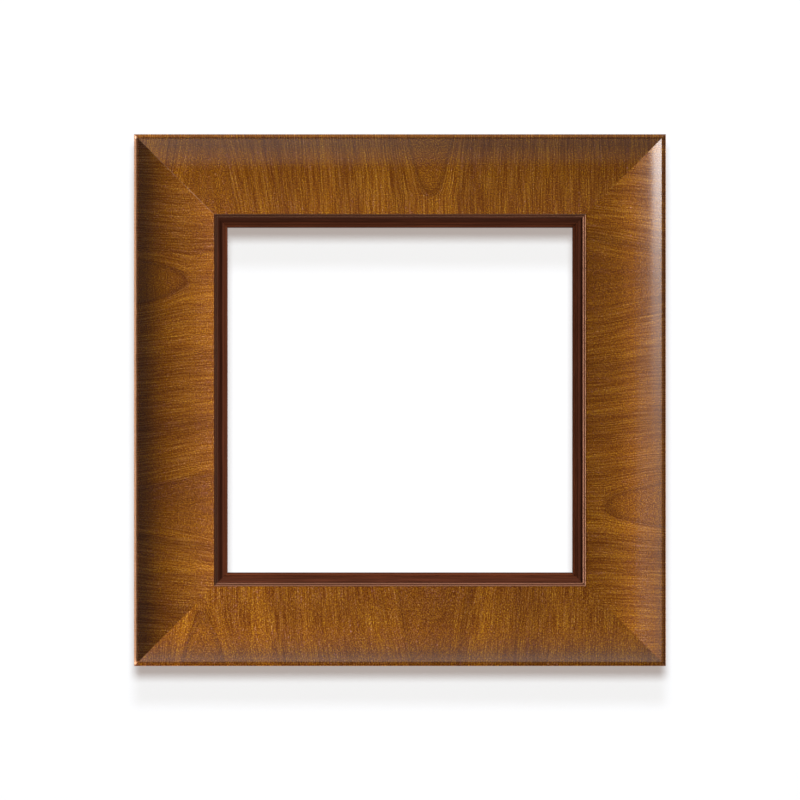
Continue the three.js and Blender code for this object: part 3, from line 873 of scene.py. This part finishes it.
def screw_radius(depth, angle):
    """Radius of the shank at a depth below the head: plain, then threaded, then pointed."""
    left = SCREW_LENGTH - depth
    taper = min(1.0, left / SCREW_TIP_LENGTH)
    body = SCREW_SHANK_RADIUS * taper
    if depth < SCREW_PLAIN_LENGTH or left < 0.2 * SCREW_TIP_LENGTH:
        return body
    turn = (depth / SCREW_THREAD_PITCH + angle / (2 * math.pi)) % 1
    ridge = max(0.0, 1 - abs(turn - 0.5) / SCREW_RIDGE_SHARE)
    return max(SCREW_TIP_RADIUS, body - SCREW_THREAD_DEPTH * (1 - ridge) * taper)


def screw_mesh():
    """One screw along Y, with the underside of its head at the origin."""
    shape = bmesh.new()
    angles = [2 * math.pi * k / SCREW_SIDES for k in range(SCREW_SIDES)]
    rows = []
    for step in range(1, THREAD_STEPS):
        depth = SCREW_LENGTH * (1 - step / THREAD_STEPS)
        rows.append([(screw_radius(depth, angle), -depth) for angle in angles])
    rows.append([(SCREW_SHANK_RADIUS, 0.0)] * SCREW_SIDES)
    rows.append([(SCREW_HEAD_RADIUS - SCREW_HEAD_EDGE, 0.0)] * SCREW_SIDES)
    rows += [[(SCREW_HEAD_RADIUS * share, height)] * SCREW_SIDES for share, height in SCREW_HEAD]
    loops = [[shape.verts.new((radius * math.cos(angle), height, radius * math.sin(angle)))
              for angle, (radius, height) in zip(angles, row)] for row in rows]
    sides = [(k, (k + 1) % SCREW_SIDES) for k in range(SCREW_SIDES)]
    for lower, upper in zip(loops, loops[1:]):
        for k, after in sides:
            shape.faces.new((lower[k], lower[after], upper[after], upper[k]))
    point = shape.verts.new((0, -SCREW_LENGTH, 0))
    crown = shape.verts.new((0, SCREW_HEAD_HEIGHT, 0))
    for k, after in sides:
        shape.faces.new((point, loops[0][after], loops[0][k]))
        shape.faces.new((crown, loops[-1][k], loops[-1][after]))
    return closed_mesh("screw", shape)


def cut(piece, *cutters):
    """Cuts a piece with others, each given after its boolean operation, and removes them."""
    for operation, cutter in cutters:
        boolean = piece.modifiers.new(cutter.name, "BOOLEAN")
        boolean.operation = operation
        boolean.solver = "EXACT"
        boolean.object = cutter
    applied(piece)
    for operation, cutter in cutters:
        bpy.data.objects.remove(cutter)


def recess_cutter(across_x, across_z):
    """One arm of the cross in the screw's head."""
    shape = bmesh.new()
    bmesh.ops.create_cube(shape, size=1.0)
    size = Matrix.Diagonal((across_x, 2 * SCREW_RECESS_DEPTH, across_z, 1))
    bmesh.ops.transform(shape, verts=shape.verts,
                        matrix=Matrix.Translation((0, SCREW_HEAD_HEIGHT, 0)) @ size)
    return new_piece("recess", closed_mesh("recess", shape))


screw = new_piece("screw_pattern", screw_mesh())
cut(screw, ("DIFFERENCE", recess_cutter(SCREW_RECESS_SPAN, SCREW_RECESS_WIDTH)),
    ("DIFFERENCE", recess_cutter(SCREW_RECESS_WIDTH, SCREW_RECESS_SPAN)))


def screws_tree():
    """Puts a copy of the screw at each point, turned at random."""
    tree, given = new_tree("screws_in_place", {
        "Places": "Geometry", "Screw": "Object", "Finish": "Material"}, "Screws")
    pattern = add(tree, "GeometryNodeObjectInfo", {"Object": given["Screw"]})
    points = add(tree, "GeometryNodeMeshToPoints", {"Mesh": given["Places"]})
    turns = add(tree, "FunctionNodeRandomValue", {
        "Min": (0, 0, 0), "Max": (0, math.pi, 0), "Seed": 4}, data_type="FLOAT_VECTOR")
    copies = add(tree, "GeometryNodeInstanceOnPoints", {
        "Points": points.outputs[0], "Instance": pattern.outputs["Geometry"],
        "Rotation": turns.outputs[0]})
    return end_tree(tree, copies.outputs[0], given["Finish"])


screw_nodes = sorted(name for name in frame["nodes"] if "screw" in name)
screw_places = []
for name in screw_nodes:
    low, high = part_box(name)
    screw_places.append(((low.x + high.x) / 2, high.y - SCREW_HEAD_HEIGHT, (low.z + high.z) / 2))
screws = drawn("pan_head_screws", screw_places)
set_tree(screws, screws_tree(), {"Screw": screw, "Finish": plated_zinc})
smooth_by_angle(applied(screws))
bpy.data.objects.remove(screw)
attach(screws, "frame")
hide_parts(*screw_nodes)


# Hanger: sheet steel folded double round the ring's bar, one flap flat on the wood and one on
# top of it, with the screw through both. The ring is round wire bent to a D.
STRAP_SHEET = 0.8 * MM
STRAP_WIDTH = 9 * MM
STRAP_LENGTH = 14.5 * MM
STRAP_SCREW_DISTANCE = 8.6 * MM
STRAP_HOLE_RADIUS = 1.8 * MM
STRAP_EDGE = 0.12 * MM
STRAP_SLIT = 0.04 * MM
STRAP_CREASE = 0.1 * MM
STRAP_FOLD = math.radians(40)
RING_WIRE_RADIUS = 1 * MM
RING_CLEARANCE = 0.3 * MM
RING_INNER_WIDTH = 11.4 * MM
RING_INNER_LENGTH = 16.6 * MM
RING_BEND_RADIUS = 2.2 * MM
RING_END_GAP = 0.3 * MM
WIRE_SIDES = 24

eye = next(Vector(j["pos_m"]) for j in frame["joints"] if j["name"] == "ring_swing")
eye_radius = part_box("hanger_strap")[1].y - eye.y
bore_radius = RING_WIRE_RADIUS + RING_CLEARANCE


def strap_side_view():
    """Outline of the folded sheet, (down, out) from the eye's middle, with a slit between its
    flaps that ends in the bore."""
    top = 2 * STRAP_SHEET - eye_radius
    seam = STRAP_SHEET - eye_radius
    leave = (eye_radius - top * math.sin(STRAP_FOLD)) / math.cos(STRAP_FOLD)
    outer = arc((0, 0), eye_radius, STRAP_FOLD, 3 * math.pi / 2, 36)
    bore = arc((0, 0), bore_radius, 3 * math.pi / 2, STRAP_FOLD, 30)
    meet = bore_radius * (1 + math.sin(STRAP_FOLD)) / math.cos(STRAP_FOLD)
    crease = Vector((meet - STRAP_CREASE, seam + STRAP_SLIT))
    return [
        Vector((STRAP_LENGTH, -eye_radius)), Vector((STRAP_LENGTH, seam - STRAP_SLIT / 2)),
        Vector((crease.x, seam - STRAP_SLIT / 2)), *bore, crease,
        Vector((STRAP_LENGTH, seam + STRAP_SLIT)), Vector((STRAP_LENGTH, top)),
        Vector((leave, top)), *outer,
    ]


def seen_from_side(point, x):
    return Vector((eye.x + x, eye.y + point.y, eye.z - point.x))


def seen_from_back(point, y=0.0):
    return Vector((eye.x + point.x, eye.y + y, eye.z + point.y))


def prism(name, outline, half_width, place):
    """An outline run to both sides, each of its points put in place by a function."""
    shape = bmesh.new()
    shape.faces.new([shape.verts.new(place(p, -half_width)) for p in outline])
    thicken(shape, place(outline[0], half_width) - place(outline[0], -half_width))
    return new_piece(name, closed_mesh(name, shape))


strap = prism("folded_hanger_strap", strap_side_view(), STRAP_WIDTH / 2, seen_from_side)
tail = arc((0, STRAP_WIDTH / 2 - STRAP_LENGTH), STRAP_WIDTH / 2, math.pi, 2 * math.pi, 28)
plan = [Vector((STRAP_WIDTH / 2, 2 * eye_radius)), Vector((-STRAP_WIDTH / 2, 2 * eye_radius)), *tail]
drill = arc((0, -STRAP_SCREW_DISTANCE), STRAP_HOLE_RADIUS, 0, 2 * math.pi, 32)[:-1]
cut(strap, ("INTERSECT", prism("strap_plan", plan, 2 * eye_radius, seen_from_back)),
    ("DIFFERENCE", prism("strap_drill", drill, 3 * eye_radius, seen_from_back)))
softened(strap, STRAP_EDGE, 2, 60)
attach(strap, "frame")
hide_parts("hanger_strap")


def ring_line():
    """Middle line of the wire, from one end at the bar's middle round to the other."""
    side = RING_INNER_WIDTH / 2 + RING_WIRE_RADIUS
    bottom = RING_INNER_LENGTH + 2 * RING_WIRE_RADIUS
    bow_middle = side - bottom
    bend = RING_BEND_RADIUS
    right = arc((side - bend, -bend), bend, math.pi / 2, 0, 12)
    lower = arc((0, bow_middle), side, 0, -math.pi, 48)
    left = arc((bend - side, -bend), bend, math.pi, math.pi / 2, 12)
    return [Vector((RING_END_GAP / 2, 0)), *right, *lower, *left, Vector((-RING_END_GAP / 2, 0))]


def wire_tree():
    """Runs a round section along the wire's middle line."""
    tree, given = new_tree("bent_wire", {
        "Line": "Geometry", "Radius": "Float", "Sides": "Int", "Finish": "Material"}, "Wire")
    line = add(tree, "GeometryNodeMeshToCurve", {"Mesh": given["Line"]})
    section = add(tree, "GeometryNodeCurvePrimitiveCircle",
                  {"Resolution": given["Sides"], "Radius": given["Radius"]})
    swept = add(tree, "GeometryNodeCurveToMesh", {
        "Curve": line.outputs[0], "Profile Curve": section.outputs[0], "Fill Caps": True})
    return end_tree(tree, swept.outputs[0], given["Finish"])


wire_points = [seen_from_back(p) for p in ring_line()]
ring = drawn("wire_hanger_ring", wire_points, [(i, i + 1) for i in range(len(wire_points) - 1)])
set_tree(ring, wire_tree(),
         {"Radius": RING_WIRE_RADIUS, "Sides": WIRE_SIDES, "Finish": plated_zinc})
smooth_by_angle(applied(ring), 50)
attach(ring, "ring")
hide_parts("hanger_ring")


# Backdrop: a white wall behind the frame that only the camera sees, and only from the front.
# Two lamps above the camera shine on it alone and throw the frame's near and far shadow steps.
# Its paint is dark and the lamps are strong, so that what the frame reflects hardly shows on it.
WALL_DISTANCE = 200 * MM
WALL_SIDE = 6.0
WALL_PAINT = 0.15
WALL_GLOW = paint(178, 168, 163)
SHADOW_LAMPS = (
    # name, how far down the shadow falls, how wide its edge is, and what a white wall would show
    ("near_shadow_lamp", 6.4 * MM, 6.8 * MM, (0.44, 0.49, 0.515)),
    ("far_shadow_lamp", 21.9 * MM, 9.2 * MM, (0.122, 0.130, 0.146)),
)

wall_y = back_plane + WALL_DISTANCE
corner = WALL_SIDE / 2
wall = drawn("wall", [(x * corner, wall_y, half_side + z * corner) for x, z in (
    (-1, -1), (1, -1), (1, 1), (-1, 1))], faces=[(0, 1, 2, 3)])
for ray in ("diffuse", "glossy", "transmission", "volume_scatter", "shadow"):
    setattr(wall, f"visible_{ray}", False)
paper, tree = new_material("white_wall")
lit = add(tree, "ShaderNodeBsdfDiffuse", {"Color": (WALL_PAINT, WALL_PAINT, WALL_PAINT, 1)})
glow = add(tree, "ShaderNodeEmission", {"Color": WALL_GLOW, "Strength": 1.0})
both = add(tree, "ShaderNodeAddShader", {0: lit.outputs[0], 1: glow.outputs[0]})
behind = add(tree, "ShaderNodeNewGeometry").outputs["Backfacing"]
shown = add(tree, "ShaderNodeMixShader", {
    0: behind, 1: both.outputs[0], 2: add(tree, "ShaderNodeBsdfTransparent").outputs[0]})
plug(tree, add(tree, "ShaderNodeOutputMaterial").inputs["Surface"], shown.outputs[0])
wall.data.materials.append(paper)

wall_only = bpy.data.collections.new("wall_only")
wall_only.objects.link(wall)
all_but_wall = bpy.data.collections.new("all_but_wall")
all_but_wall.objects.link(wall)
all_but_wall.collection_objects[0].light_linking.link_state = "EXCLUDE"


def new_lamp(name, kind, receivers):
    """A lamp that lights only what is in a collection."""
    lamp = bpy.data.objects.new(name, bpy.data.lights.new(name, kind))
    lamp.light_linking.receiver_collection = receivers
    scene.collection.objects.link(lamp)
    return lamp


gap = wall_y - RIM_PLANE
as_seen = (CAMERA_DISTANCE + gap) / gap
for name, drop, blur, light in SHADOW_LAMPS:
    lamp = new_lamp(name, "AREA", wall_only)
    lamp.location = camera.location + Vector((0, 0, drop * as_seen))
    toward_wall = Vector((0, wall_y, half_side)) - lamp.location
    lamp.rotation_euler = toward_wall.to_track_quat("-Z", "Y").to_euler()
    lamp.data.shape = "DISK"
    lamp.data.size = blur * as_seen
    lamp.data.color = light
    facing = toward_wall.normalized().y
    lamp.data.energy = (math.pi * toward_wall.length) ** 2 / WALL_PAINT / facing


# Light on the frame: a broad key from the right, with a little from the front and all round. The
# lacquer's sheen comes from dim surroundings, from two softboxes beside the upper right corner
# that make the streak along the right rail, and from one above the left half.
FRAME_LAMPS = (
    # name, direction, light, angle
    ("key", (0.80, -0.58, -0.16), 1.38, math.radians(34)),
    ("fill", (0, -1, 0), 0.09, math.radians(40)),
    ("all_round", (0, -1, 0), 0.10, math.radians(180)),
)
SURROUNDINGS = (
    # direction, radiance there, and the power of its cosine that it falls off with
    ((1, 0, 0), 0.8, 9),
    ((-1, 0, 0), 0.09, 2),
    ((0, 0, -1), 0.75, 2),
    ((0, 0, -1), 0.6, 30),
    ((0, 1, 0), 0.9, 3),
)
SURROUNDINGS_DIM = 0.03
CEILING = {"From Min": 0.56, "From Max": 0.8, "To Max": 0.38}
WINDOW = {"From Min": 0.05, "From Max": 0.4, "To Max": 0.27}
BEHIND = {"From Min": 0.0, "From Max": 0.5, "To Max": 0.85}
SOFTBOXES = (
    # name, place from the frame's middle, the way it lies from the frame, width, height, radiance
    ("high_softbox", (0.62, -0.02, 0.376), (1, 0, 0), 0.26, 0.52, 14.0),
    ("low_softbox", (0.62, -0.02, 0.24), (1, 0, 0), 0.34, 0.48, 1.7),
    ("ceiling_softbox", (-0.38, -0.38, 0.75), (0, 0, 1), 0.76, 0.96, 0.56),
)

for name, direction, level, angle in FRAME_LAMPS:
    lamp = new_lamp(name, "SUN", all_but_wall)
    lamp.rotation_euler = Vector(direction).to_track_quat("Z", "Y").to_euler()
    lamp.visible_glossy = False
    lamp.data.angle = angle
    lamp.data.energy = math.pi * level

for name, place, direction, width, height, radiance in SOFTBOXES:
    softbox = new_lamp(name, "AREA", all_but_wall)
    softbox.location = Vector(place) + Vector((0, 0, half_side))
    softbox.rotation_euler = Vector(direction).to_track_quat("Z", "Y").to_euler()
    softbox.visible_diffuse = False
    softbox.visible_camera = False
    softbox.data.shape = "RECTANGLE"
    softbox.data.size, softbox.data.size_y = width, height
    softbox.data.energy = radiance * math.pi * width * height

world = bpy.data.worlds.new("studio")
scene.world = world
world.use_nodes = True
tree = world.node_tree
tree.nodes.clear()
outlook = add(tree, "ShaderNodeTexCoord").outputs["Generated"]


def toward(direction):
    return add(tree, "ShaderNodeVectorMath", {0: outlook, 1: direction},
               operation="DOT_PRODUCT").outputs["Value"]


def gradual(direction, stops):
    """Light that grows from nothing as the cosine to a direction goes between two stops."""
    return ranged(tree, toward(direction), stops)


level = gradual((0, 1, 0), BEHIND)
sheen = [(gradual((0, 0, 1), CEILING), 1.0), (gradual((1, 0, 0), WINDOW), 1.0)]
for direction, radiance, power in SURROUNDINGS:
    cosine = calc(tree, "MAXIMUM", toward(direction), 0.0)
    sheen.append((calc(tree, "POWER", cosine, power), radiance))
sheen_light = total(tree, SURROUNDINGS_DIM, *sheen)
ray = add(tree, "ShaderNodeLightPath").outputs
for kind, shown in (("Is Glossy Ray", sheen_light), ("Is Camera Ray", 1.0)):
    level = add(tree, "ShaderNodeMix", {0: ray[kind], 2: level, 3: shown},
                data_type="FLOAT").outputs[0]
background = add(tree, "ShaderNodeBackground", {"Color": (1, 1, 1, 1), "Strength": level})
plug(tree, add(tree, "ShaderNodeOutputWorld").inputs["Surface"], background.outputs[0])
